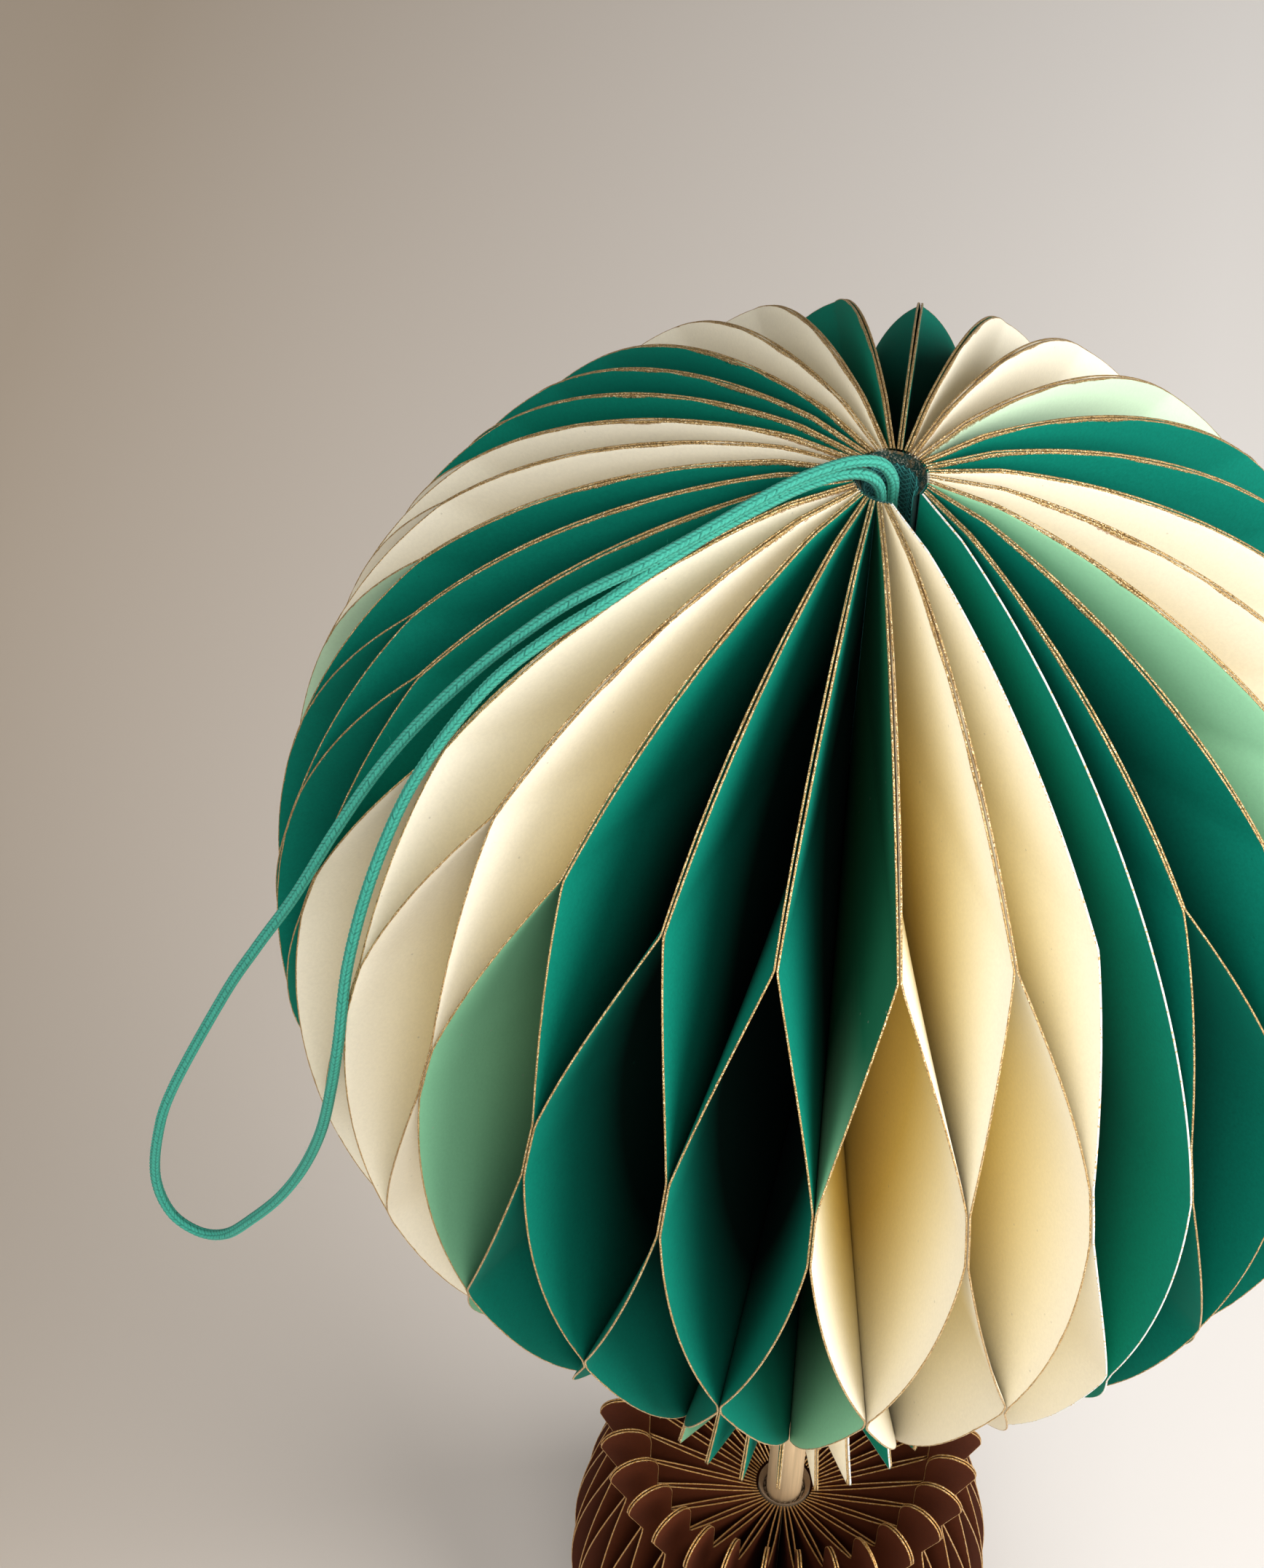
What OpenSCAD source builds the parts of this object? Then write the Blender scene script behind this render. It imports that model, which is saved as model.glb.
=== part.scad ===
// Paper ball ornament with a basket: two books of cut leaves, each glued at alternate heights
// and opened all the way round, on one wooden stick, with a loop of cord to hang it by.
// Origin: middle of the basket's underside. +Z: up along the stick.

/* [Ball] */
// diameter of the ball across the leaf rims
ball_d = 130; // [120:1:150]
// thickness of one paper leaf
paper_t = 0.28; // [0.2:0.02:0.36]
// height of the top glue line above the ball's middle
glue_top = 43; // [38:0.5:46]
// height of the second glue line above the ball's middle
glue_second = 18; // [14:0.5:24]
// depth of the third glue line below the ball's middle
glue_third = 15.5; // [10:0.5:20]
// depth of the bottom glue line below the ball's middle
glue_bottom = 41.5; // [36:0.5:42]

/* [Mouth of the ball] */
// height of the tail from the ball's lowest level down to the mouth
tail_h = 38; // [30:1:48]
// diameter of the pointed mouth
mouth_d = 43; // [40:1:50]
// diameter of the throat above the mouth
throat_d = 38; // [30:1:39]
// height of the flare from throat to mouth
flare_h = 11; // [8:1:16]

/* [Basket] */
// height of the basket, underside to rim
basket_h = 66; // [56:1:80]
// largest diameter of the basket's belly
belly_d = 60; // [56:1:70]
// diameter of the rolled rim
rim_d = 53; // [50:1:58]
// diameter of the waist under the rim
waist_d = 48; // [45:1:49]
// diameter of the flat underside
base_d = 50; // [44:1:54]
// width of the rolled rim
rim_w = 7; // [5:0.5:9]
// height of the rolled rim, down to the waist
rim_h = 9.5; // [8:0.5:12]
// depth of the hollow below the rim
hollow = 18.5; // [14:0.5:24]

/* [Stick and cord] */
// open height between the basket's rim and the mouth
gap_h = 16; // [10:1:24]
// diameter of the wooden stick
stick_d = 5; // [4.5:0.5:6]
// diameter of the hanging cord
cord_d = 1.25; // [1:0.05:1.3]

/* [Hidden] */

$fn = 96;
green = [0, 0.5, 0.42];
cream = [0.94, 0.88, 0.76];
brown = [0.3, 0.14, 0.07];
gauze = [0.35, 0.6, 0.52];
wood = [0.82, 0.68, 0.48];
mint = [0.3, 0.72, 0.6];

leaves = 60;
gathering = 5;
basket_share = 10;
ball_r = ball_d / 2;
mouth_drop = ball_r + tail_h;
ball_z = basket_h + gap_h + mouth_drop;

// The leaves stand side by side round a gauze sleeve that stays open at the ball's seam.
glue_t = 0.06;
gauze_t = 0.5;
slip = 0.05;
seat = 0.1;
spine_arc = 310;
seam_at = -58;
seam_open = 360 - spine_arc;
bore_r = stick_d / 2 + slip;
root_r = max(leaves * (paper_t + glue_t) / (spine_arc * PI / 180), bore_r + gauze_t + seat);
sleeve_r = root_r - seat;

// Angles of some boundaries between leaves as the ball is opened: wide apart at the front and on
// the right, close together on the left and at the back.
fan = [[0, -59.5], [2, -48.5], [18, 66.5], [30, 134], [38, 168.5],
    [44, 198], [50, 235.5], [58, 293], [60, 303.5]];

// How far a leaf bows on its way from one glue line to the next, as a share: 0 is straight.
bow = 0.4;

// Half heights, in degrees of the ball's arc, over which the middle glue lines hold.
second_run = 3;
third_run = 1;

pole_lat = 80;
lat_top = asin(glue_top / ball_r);
lat_second = asin(glue_second / ball_r);
lat_third = -asin(glue_third / ball_r);
lat_bottom = -asin(glue_bottom / ball_r);
arc_end = -45;

function mix(a, b, t) = a + (b - a) * t;
function swing_out(t) = t + bow * t * (1 - t);
function swing_back(t) = 1 - t + bow * t * (1 - t);
function on_ball(lat, swing) = [ball_r * cos(lat), ball_r * sin(lat), swing];

// The throat leaves the ball along its tangent and ends upright.
throat_r = throat_d / 2;
throat_from = on_ball(arc_end, 1);
throat_bend = [throat_r, throat_from[1] - throat_from[0] + throat_r, 1];
throat_to = [throat_r, flare_h - mouth_drop, 1];
function throat(t) = mix(mix(throat_from, throat_bend, t), mix(throat_bend, throat_to, t), t);

// Rim of a ball leaf from the top down: radius, height from the ball's middle, and swing.
// Swing 0 lies against one neighbour and swing 1 against the other.
ball_rim = concat(
    [for (k = [0:3]) on_ball(mix(pole_lat, lat_top, k / 4), 0)],
    [for (k = [0:4]) on_ball(mix(lat_top, lat_second + second_run, k / 4), swing_out(k / 4))],
    [for (k = [0:4]) on_ball(mix(lat_second - second_run, lat_third + third_run, k / 4), swing_back(k / 4))],
    [for (k = [0:3]) on_ball(mix(lat_third - third_run, lat_bottom, k / 3), swing_out(k / 3))],
    [for (k = [0:4]) throat(k / 4)],
    [[mouth_d / 2, -mouth_drop, 1]]);

// Heights of the points along a ball leaf's root.
ball_root_z = [ball_rim[0][1], glue_top, glue_second, -glue_third, -glue_bottom, -mouth_drop];
ball_outline = concat(ball_rim, [for (z = ball_root_z) [root_r, z, 0.5]]);

// Root point that is nearest in height to the middle of rim edge k.
function root_of(k) =
    let (z = (ball_rim[k][1] + ball_rim[k + 1][1]) / 2)
    let (away = [for (r = ball_root_z) abs(r - z)])
    search(min(away), away)[0] + len(ball_rim);

// One face of a ball leaf: a fan from each root point to the rim beside it.
ball_edges = len(ball_rim) - 1;
ball_face = concat(
    [for (k = [0:ball_edges - 1]) [k, k + 1, root_of(k)]],
    [for (k = [1:ball_edges - 1]) if (root_of(k) != root_of(k - 1)) [k, root_of(k), root_of(k - 1)]]);
ball_loop = concat(
    [for (k = [0:ball_edges]) k],
    [for (k = [len(ball_outline) - 1:-1:len(ball_rim)]) k]);

// Outline of a basket leaf, from the foot of the rim's inner wall over the rim and down the belly.
rim_r = rim_d / 2;
bead_r = rim_w / 2;
waist_z = basket_h - rim_h;
foot_lift = 1;
bulge = (belly_d - (waist_d + base_d) / 2) / 2;
function rim_bead(a) = [rim_r - bead_r + bead_r * cos(a), basket_h - bead_r + bead_r * sin(a), 0];
function belly(t) = [mix(waist_d, base_d, t) / 2 + bulge * sin(180 * t), waist_z * (1 - t), sin(180 * t)];
basket_outline = concat(
    [[rim_r - rim_w, waist_z + foot_lift, 0]],
    [for (k = [0:4]) rim_bead(180 - 45 * k)],
    [for (k = [0:6]) belly(k / 6)],
    [[root_r, 0, 0.5], [root_r, basket_h - hollow, 0.5]]);
basket_face = [for (k = [1:len(basket_outline) - 2]) [0, k, k + 1]];
basket_loop = [for (k = [0:len(basket_outline) - 1]) k];

// Angle of boundary j between leaves: at the ball's spine, evenly round, and as the ball is opened.
function slot_at(j) = seam_at + seam_open / 2 + spine_arc * j / leaves;
function even_at(j) = seam_at + 360 * j / leaves;
function open_at(j) = lookup(j, fan);

// A leaf swings from the even boundary on one side of it to the odd one on the other. Above the
// second glue line the first leaf stands free of the seam, at its odd boundary.
function even_side(i) = i % 2 == 0 ? i : i + 1;
function odd_side(i) = i % 2 == 0 ? i + 1 : i;
function ball_swing(i, p) = i == 0 && p[1] > glue_second ? 1 : p[2];
function ball_heading(i, p) = mix(open_at(even_side(i)), open_at(odd_side(i)), ball_swing(i, p));
function basket_heading(i, p) = mix(even_at(even_side(i)), even_at(odd_side(i)), p[2]);

// A point of a leaf: out from its root along a heading, and half the paper to one side.
function leaf_point(p, root_at, heading, side, lift) = [
    root_r * cos(root_at) + (p[0] - root_r) * cos(heading) - side * paper_t / 2 * sin(heading),
    root_r * sin(root_at) + (p[0] - root_r) * sin(heading) + side * paper_t / 2 * cos(heading),
    p[1] + lift];

// A sheet from its outline's points on both sides, one face's triangles and the loop of its edge.
module sheet(points, face, loop) {
    n = len(points) / 2;
    turned = [for (f = face) [f[2] + n, f[1] + n, f[0] + n]];
    edge = [for (k = [0:len(loop) - 1]) [loop[k], loop[(k + 1) % len(loop)]]];
    wall_a = [for (e = edge) [e[1], e[0], e[0] + n]];
    wall_b = [for (e = edge) [e[1], e[0] + n, e[1] + n]];
    polyhedron(points, concat(face, turned, wall_a, wall_b));
}

module ball_leaf(i) {
    points = [for (side = [-1, 1]) for (p = ball_outline)
        leaf_point(p, slot_at(i + 0.5), ball_heading(i, p), side, ball_z)];
    sheet(points, ball_face, ball_loop);
}

module basket_leaf(i) {
    points = [for (side = [-1, 1]) for (p = basket_outline)
        leaf_point(p, even_at(i + 0.5), basket_heading(i, p), side, 0)];
    sheet(points, basket_face, basket_loop);
}

// Leaves of one colour that stand together in the ball.
module ball_leaves(first) {
    for (i = [first:first + gathering - 1]) ball_leaf(i);
}

module green_leaves(k) {
    color(green) ball_leaves(2 * gathering * (k - 1));
}

module cream_leaves(k) {
    color(cream) ball_leaves(2 * gathering * (k - 1) + gathering);
}

module basket_leaves(k) {
    color(brown)
        for (i = [basket_share * (k - 1):basket_share * k - 1]) basket_leaf(i);
}

// Gauze sleeve round the stick's bore that the leaves are glued to.
module sleeve(length, arc) {
    rotate_extrude(angle = arc)
        translate([bore_r, 0])
            square([sleeve_r - bore_r, length]);
}

// Sleeve of the ball, slit along the seam.
module ball_spine() {
    color(gauze)
        translate([0, 0, ball_z - mouth_drop])
            rotate([0, 0, seam_at + seam_open / 2])
                sleeve(mouth_drop + ball_rim[0][1], spine_arc);
}

// Sleeve of the basket, closed all round.
module basket_spine() {
    color(gauze) sleeve(basket_h - hollow, 360);
}

// Stick from the basket's underside up to the ball's middle.
module centre_stick() {
    color(wood) cylinder(h = ball_z, d = stick_d);
}

// Route of the cord, from the middle of a ball of this radius: out of the spine, over the ball,
// round the hanging loop and back again.
route_r = 65;
cord_route = [
    [0.4, 0.2, 49], [0.4, 0.2, 56], [0.4, 0.2, 60.5], [0.2, 0.1, 63.6],
    [-1.2, -0.6, 66.3], [-3.8, -1.8, 67.3], [-6.6, -3.1, 67.1], [-9.8, -4.7, 66.3],
    [-13.1, -7, 65.5], [-16.4, -9.3, 64.4], [-19.8, -11.4, 63.1], [-23.7, -13.5, 61.5],
    [-27.5, -14.5, 59.2], [-30.9, -15.2, 56.7], [-34.4, -16.3, 53.8], [-39.2, -18.3, 49.6],
    [-44.6, -20.7, 43.7], [-49.4, -23, 37], [-54, -25, 28.4], [-58.2, -26.8, 19.5],
    [-62.7, -27.3, 10.4], [-67, -27, 0.5], [-74, -27.2, -18], [-76.3, -27.8, -27],
    [-77, -28.5, -35], [-75.4, -29.4, -40.5], [-72, -30.4, -42.4], [-68.3, -31.8, -40],
    [-64.6, -33.2, -34], [-60.6, -35, -26], [-57.2, -36.7, -17], [-54.5, -38.4, -7],
    [-52.8, -39.4, 2.8], [-51.7, -39, 11.6], [-50.9, -36.1, 20.7], [-49, -32.3, 29.7],
    [-46.1, -27.8, 37.8], [-42.6, -24.3, 43.9], [-37.7, -20.6, 49.9], [-32.2, -17.9, 54.5],
    [-26.8, -15.6, 58.1], [-23.2, -13.3, 60.2], [-19.5, -10.9, 61.9], [-16.2, -8.7, 63.2],
    [-12.8, -6.5, 64.2], [-9.4, -4.3, 65], [-6.4, -2.9, 65.7], [-4.2, -2, 65.8],
    [-2.4, -1.2, 65], [-1.2, -0.6, 63.3], [-0.8, -0.4, 60.8], [-0.8, -0.4, 56], [-0.8, -0.4, 49]];
cord_sides = 8;
cord_last = len(cord_route) - 1;

function unit(v) = v / norm(v);
function stop(k) = cord_route[max(0, min(cord_last, k))] * ball_r / route_r + [0, 0, ball_z];

// Smooth curve through the stops, two rings to each stretch.
function curve(k, t) =
    let (a = stop(k - 1), b = stop(k), c = stop(k + 1), d = stop(k + 2))
    b + t / 2 * (c - a + t * (2 * a - 5 * b + 4 * c - d + t * (3 * (b - c) + d - a)));
cord_line = concat(
    [for (k = [0:cord_last - 1]) for (t = [0, 0.5]) curve(k, t)],
    [stop(cord_last)]);

// Rings of points square to the line, closed at both ends.
module hanging_cord() {
    last = len(cord_line) - 1;
    along = [for (k = [0:last]) unit(cord_line[min(k + 1, last)] - cord_line[max(k - 1, 0)])];
    side = [for (v = along) unit(cross(v, [0, 1, 0]))];
    points = [for (k = [0:last]) for (s = [0:cord_sides - 1])
        let (a = 360 * s / cord_sides)
        cord_line[k] + cord_d / 2 * (cos(a) * side[k] + sin(a) * cross(along[k], side[k]))];
    walls = [for (k = [0:last - 1]) for (s = [0:cord_sides - 1])
        let (a = k * cord_sides + s, b = k * cord_sides + (s + 1) % cord_sides)
        each [[a, a + cord_sides, b], [b, a + cord_sides, b + cord_sides]]];
    start = [for (s = [0:cord_sides - 1]) s];
    end = [for (s = [cord_sides - 1:-1:0]) last * cord_sides + s];
    color(mint) polyhedron(points, concat(walls, [start, end]));
}

green_leaves(1);  // green_leaves_1
green_leaves(2);  // green_leaves_2
green_leaves(3);  // green_leaves_3
green_leaves(4);  // green_leaves_4
green_leaves(5);  // green_leaves_5
green_leaves(6);  // green_leaves_6
cream_leaves(1);  // cream_leaves_1
cream_leaves(2);  // cream_leaves_2
cream_leaves(3);  // cream_leaves_3
cream_leaves(4);  // cream_leaves_4
cream_leaves(5);  // cream_leaves_5
cream_leaves(6);  // cream_leaves_6
basket_leaves(1);  // basket_leaves_1
basket_leaves(2);  // basket_leaves_2
basket_leaves(3);  // basket_leaves_3
basket_leaves(4);  // basket_leaves_4
basket_leaves(5);  // basket_leaves_5
basket_leaves(6);  // basket_leaves_6
ball_spine();
basket_spine();
centre_stick();
hanging_cord();
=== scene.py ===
"""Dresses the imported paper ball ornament: bent leaves with gilt rims, gauze spines, wood and braided cord."""

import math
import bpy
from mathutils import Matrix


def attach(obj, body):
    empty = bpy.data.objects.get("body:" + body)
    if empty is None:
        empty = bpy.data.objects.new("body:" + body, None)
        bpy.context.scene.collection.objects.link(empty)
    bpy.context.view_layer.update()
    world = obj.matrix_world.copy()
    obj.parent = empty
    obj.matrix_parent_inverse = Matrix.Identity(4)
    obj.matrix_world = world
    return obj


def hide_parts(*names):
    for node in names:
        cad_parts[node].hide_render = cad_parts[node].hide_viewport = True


bl_info = {
    "name": "Paper ball ornament",
    "version": (1, 0, 0),
    "blender": (4, 5, 0),
    "location": "View3D > Sidebar > Ornament",
    "description": "Builds the leaves, gilt rims, spines, stick and cord of a paper ball ornament",
    "category": "Object",
}

import bpy
import numpy as np
from mathutils import Matrix, Vector

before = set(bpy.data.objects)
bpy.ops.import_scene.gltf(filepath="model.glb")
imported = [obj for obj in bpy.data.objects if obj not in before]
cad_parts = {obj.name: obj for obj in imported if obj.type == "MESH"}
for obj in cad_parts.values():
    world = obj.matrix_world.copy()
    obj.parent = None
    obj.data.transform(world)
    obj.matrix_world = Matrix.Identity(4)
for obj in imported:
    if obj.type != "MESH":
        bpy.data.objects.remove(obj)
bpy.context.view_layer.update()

MM = 0.001

# How the books of leaves are bound, as in the part's source: counts, and angles in degrees.
LEAVES = 60
GATHERING = 5
BASKET_SHARE = 10
SEAM_AT = -58.0
SPINE_ARC = 310.0
POLE_LAT = 80

# Angles of some boundaries between the ball's leaves, in degrees, as in the part's source.
FAN = [(0, -59.5), (2, -48.5), (18, 66.5), (30, 134.0), (38, 168.5),
       (44, 198.0), (50, 235.5), (58, 293.0), (60, 303.5)]

# How a leaf bows between its glue lines, and how far glued leaves part near the pole, as shares of the swing.
BOW = 0.4
GAPE = 0.022

# Share of the card's thickness that is left at its cut edge.
RIM_SHARE = 0.7

# Shares of painted green reflection on the cream faces beside green leaves (above 1 painted shade too), the
# leaf whose face gets painted shade as well, and the first leaf with painted golden shade deep in its cells.
PAINTED_REFLECTION_SHARES = {5: 0.95, 15: 0.5, 49: 1.45}
PAINTED_REFLECTION_SHARE = 0.6
SHADED_LEAF = 55
PAINTED_GOLDEN_SHADE_FROM = 30

# What a paper's colour is multiplied by: a painted green reflection beside green, painted shade, painted golden
# shade deep in a cream cell, and a stain beside spilt gilt.
PAINTED_GREEN_REFLECTION = (0.42, 0.93, 0.68)
SHADED = (0.03, 0.17, 0.14)
PAINTED_GOLDEN_SHADE = (1.0, 0.95, 0.58)
STAINED = (0.45, 0.25, 0.16)

# The camera at the photo's viewing angle: its lens, its place and its right, up and back, in metres.
CAMERA_LENS = 86.07
CAMERA_AT = (0.0, -0.26994, 0.51726)
CAMERA_AXES = ((0.99267, 0.11878, 0.02217), (-0.10494, 0.75655, 0.64546), (0.05989, -0.64305, 0.76347))
LAMPS_AIM = (0.0, 0.0, 0.19)

# The cord's route in millimetres from the ball's middle, as in the part's source.
CORD_ROUTE = [
    (0.4, 0.2, 49), (0.4, 0.2, 56), (0.4, 0.2, 60.5), (0.2, 0.1, 63.6),
    (-1.2, -0.6, 66.3), (-3.8, -1.8, 67.3), (-6.6, -3.1, 67.1), (-9.8, -4.7, 66.3),
    (-13.1, -7, 65.5), (-16.4, -9.3, 64.4), (-19.8, -11.4, 63.1), (-23.7, -13.5, 61.5),
    (-27.5, -14.5, 59.2), (-30.9, -15.2, 56.7), (-34.4, -16.3, 53.8), (-39.2, -18.3, 49.6),
    (-44.6, -20.7, 43.7), (-49.4, -23, 37), (-54, -25, 28.4), (-58.2, -26.8, 19.5),
    (-62.7, -27.3, 10.4), (-67, -27, 0.5), (-74, -27.2, -18), (-76.3, -27.8, -27),
    (-77, -28.5, -35), (-75.4, -29.4, -40.5), (-72, -30.4, -42.4), (-68.3, -31.8, -40),
    (-64.6, -33.2, -34), (-60.6, -35, -26), (-57.2, -36.7, -17), (-54.5, -38.4, -7),
    (-52.8, -39.4, 2.8), (-51.7, -39, 11.6), (-50.9, -36.1, 20.7), (-49, -32.3, 29.7),
    (-46.1, -27.8, 37.8), (-42.6, -24.3, 43.9), (-37.7, -20.6, 49.9), (-32.2, -17.9, 54.5),
    (-26.8, -15.6, 58.1), (-23.2, -13.3, 60.2), (-19.5, -10.9, 61.9), (-16.2, -8.7, 63.2),
    (-12.8, -6.5, 64.2), (-9.4, -4.3, 65), (-6.4, -2.9, 65.7), (-4.2, -2, 65.8),
    (-2.4, -1.2, 65), (-1.2, -0.6, 63.3), (-0.8, -0.4, 60.8), (-0.8, -0.4, 56), (-0.8, -0.4, 49)]


def length_prop(name, description, default):
    return bpy.props.FloatProperty(
        name=name, description=description, default=default, unit="LENGTH", precision=5)


def colour_prop(name, description, default):
    return bpy.props.FloatVectorProperty(
        name=name, description=description, default=default, subtype="COLOR", size=3, min=0, max=1)


def power_prop(name, description, default):
    return bpy.props.FloatProperty(name=name, description=description, default=default)


class OrnamentSizes(bpy.types.PropertyGroup):
    """Sizes of the ornament, in metres."""

    ball_d: length_prop("Ball", "Diameter of the ball across the leaf rims", 0.130)
    ball_z: length_prop("Ball height", "Height of the ball's middle above the basket's underside", 0.185)
    paper_t: length_prop("Paper", "Thickness of one leaf", 0.00028)
    root_r: length_prop("Spine", "Radius at which the leaves meet the spine", 0.00377)
    bore_r: length_prop("Bore", "Inner radius of the spine", 0.00255)
    glue_top: length_prop("Top glue line", "Height above the ball's middle", 0.043)
    glue_second: length_prop("Second glue line", "Height above the ball's middle", 0.018)
    glue_third: length_prop("Third glue line", "Depth below the ball's middle", 0.0155)
    glue_bottom: length_prop("Bottom glue line", "Depth below the ball's middle", 0.0415)
    mouth_drop: length_prop("Mouth depth", "Depth of the mouth below the ball's middle", 0.103)
    mouth_d: length_prop("Mouth", "Diameter of the pointed mouth", 0.043)
    throat_d: length_prop("Throat", "Diameter of the throat above the mouth", 0.038)
    flare_h: length_prop("Flare", "Height of the flare from throat to mouth", 0.011)
    basket_h: length_prop("Basket height", "Height of the basket", 0.066)
    belly_d: length_prop("Belly", "Largest diameter of the basket", 0.060)
    rim_d: length_prop("Rim", "Diameter of the basket's rolled rim", 0.053)
    waist_d: length_prop("Waist", "Diameter of the basket under its rim", 0.048)
    base_d: length_prop("Base", "Diameter of the basket's underside", 0.050)
    rim_w: length_prop("Rim width", "Width of the basket's rolled rim", 0.007)
    rim_h: length_prop("Rim height", "Height of the basket's rolled rim", 0.0095)
    hollow: length_prop("Hollow", "Depth of the basket's hollow below the rim", 0.0185)
    cord_d: length_prop("Cord", "Diameter of the hanging cord", 0.00125)


class OrnamentColours(bpy.types.PropertyGroup):
    """Colours of the ornament's papers, gilt, gauze, wood and cord."""

    green: colour_prop("Green paper", "Colour of the green leaves", (0.0, 0.2, 0.135))
    cream: colour_prop("Cream paper", "Colour of the cream leaves", (0.94, 0.875, 0.71))
    brown: colour_prop("Brown paper", "Colour of the basket's leaves", (0.08, 0.017, 0.0045))
    gilt: colour_prop("Gilt", "Colour of the glitter on the rims", (0.5, 0.3, 0.1))
    raw: colour_prop("Raw edge", "Colour of a cut edge without gilt", (0.86, 0.86, 0.82))
    gauze: colour_prop("Gauze", "Colour of the spine's gauze", (0.04, 0.26, 0.24))
    wood: colour_prop("Wood", "Colour of the stick", (0.66, 0.47, 0.27))
    cord: colour_prop("Cord", "Colour of the braided cord", (0.05, 0.38, 0.28))


class OrnamentStage(bpy.types.PropertyGroup):
    """The floor and the lamps."""

    shade: colour_prop("Floor, left", "Floor colour on the left", (0.47, 0.385, 0.3))
    light: colour_prop("Floor, right", "Floor colour on the right", (0.87, 0.82, 0.77))
    key: power_prop("Key lamp", "Power of the lamp on the right", 10.0)
    front: power_prop("Front lamp", "Power of the lamp above the viewer", 1.9)
    bounce: power_prop("Bounce lamp", "Power of the low lamp in front", 1.425)
    fill: power_prop("Fill lamps", "Power of each lamp on the left", 1.7)
    ambient: power_prop("Ambient", "Strength of the even light", 0.08)


class Value:
    """A shader socket that can stand in sums: each step adds a Math node."""

    def __init__(self, finish, socket):
        self.finish = finish
        self.socket = socket

    def math(self, operation, a, b=0.0, clamp=False):
        return self.finish.node("ShaderNodeMath", {"operation": operation, "use_clamp": clamp}, {0: a, 1: b})

    def __add__(self, other):
        return self.math("ADD", self, other)

    def __sub__(self, other):
        return self.math("SUBTRACT", self, other)

    def __rsub__(self, other):
        return self.math("SUBTRACT", other, self)

    def __mul__(self, other):
        return self.math("MULTIPLY", self, other)

    def __truediv__(self, other):
        return self.math("DIVIDE", self, other)

    def __pow__(self, other):
        return self.math("POWER", self, other)

    def __lt__(self, other):
        return self.math("LESS_THAN", self, other)

    def __gt__(self, other):
        return self.math("GREATER_THAN", self, other)

    __radd__ = __add__
    __rmul__ = __mul__

    def clamped(self):
        return self.math("ADD", self, 0.0, clamp=True)


class Finish:
    """A material and the way its nodes are made."""

    def __init__(self, name):
        self.material = bpy.data.materials.new(name)
        self.material.use_nodes = True
        self.tree = self.material.node_tree
        self.tree.nodes.clear()

    def node(self, kind, settings=None, inputs=None, output=0):
        """Adds a node: settings first, then the values or links of its sockets."""
        made = self.tree.nodes.new(kind)
        for key, value in (settings or {}).items():
            if key == "stops":
                ramp = made.color_ramp.elements
                while len(ramp) < len(value):
                    ramp.new(1.0)
                for element, (place, colour) in zip(ramp, value):
                    element.position = place
                    element.color = (*colour, 1.0)
            else:
                setattr(made, key, value)
        for key, value in (inputs or {}).items():
            if isinstance(value, Value):
                self.tree.links.new(value.socket, made.inputs[key])
            else:
                made.inputs[key].default_value = value
        return Value(self, made.outputs[output])

    def place(self):
        return self.node("ShaderNodeTexCoord", output="Object")

    def stretched(self, scale):
        return self.node("ShaderNodeVectorMath", {"operation": "MULTIPLY"}, {0: self.place(), 1: scale})

    def noise(self, scale, detail=2.0, rough=0.55, at=None):
        return self.node("ShaderNodeTexNoise", None, {
            "Vector": at or self.place(), "Scale": scale, "Detail": detail, "Roughness": rough}, "Fac")

    def grains(self, scale, output="Color"):
        return self.node("ShaderNodeTexVoronoi", None, {"Vector": self.place(), "Scale": scale}, output)

    def mark(self, name):
        return self.node("ShaderNodeAttribute", {"attribute_name": name}, None, "Fac")

    def blend(self, factor, a, b, mode="MIX"):
        return self.node("ShaderNodeMix", {"data_type": "RGBA", "blend_type": mode},
                         {0: factor, 6: colour4(a), 7: colour4(b)}, 2)

    def bump(self, height, depth, strength):
        inputs = {"Height": height, "Distance": depth, "Strength": strength}
        return self.node("ShaderNodeBump", None, inputs, "Normal")

    def glints(self, scale, amount):
        """Normals that point a little apart from grain to grain."""
        grain = self.grains(scale)
        lean = self.node("ShaderNodeVectorMath", {"operation": "SUBTRACT"}, {0: grain, 1: (0.5, 0.5, 0.5)})
        lean = self.node("ShaderNodeVectorMath", {"operation": "SCALE"}, {0: lean, "Scale": amount})
        base = self.node("ShaderNodeNewGeometry", output="Normal")
        lean = self.node("ShaderNodeVectorMath", {"operation": "ADD"}, {0: base, 1: lean})
        return self.node("ShaderNodeVectorMath", {"operation": "NORMALIZE"}, {0: lean})

    def surface(self, **sockets):
        names = {key.replace("_", " "): value for key, value in sockets.items()}
        return self.node("ShaderNodeBsdfPrincipled", None, names, "BSDF")

    def node_output(self, shader):
        out = self.tree.nodes.new("ShaderNodeOutputMaterial")
        self.tree.links.new(shader.socket, out.inputs["Surface"])
        return self.material


def colour4(colour):
    return colour if isinstance(colour, Value) else (*colour, 1.0)


def scaled(colour, factor, more=0.0):
    """A colour made darker or paler, no paler than white."""
    return [min(1.0, c * factor + more) for c in colour]


def gilt_shader(finish, gilt, glitter=1.0):
    """Fine gold glitter: grains that differ in tone and in the way they face."""
    tone = finish.node("ShaderNodeSeparateColor", None, {0: finish.grains(15000.0)}, "Red")
    stops = [(0.0, scaled(gilt, 0.25)), (0.45, gilt), (0.8, (0.74, 0.48, 0.19)), (0.97, (1.0, 0.86, 0.56))]
    colour = finish.node("ShaderNodeValToRGB", {"stops": stops}, {0: tone})
    colour = finish.blend(1.0 - glitter, colour, gilt)
    dull = finish.noise(900.0, 2.0)
    return finish.surface(
        Base_Color=colour, Metallic=0.6, Roughness=(dull * 0.25 + 0.26).clamped(),
        Normal=finish.glints(15000.0, glitter))


def gilt_finish(name, gilt, glitter=1.0):
    finish = Finish(name)
    return finish.node_output(gilt_shader(finish, gilt, glitter))


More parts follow.
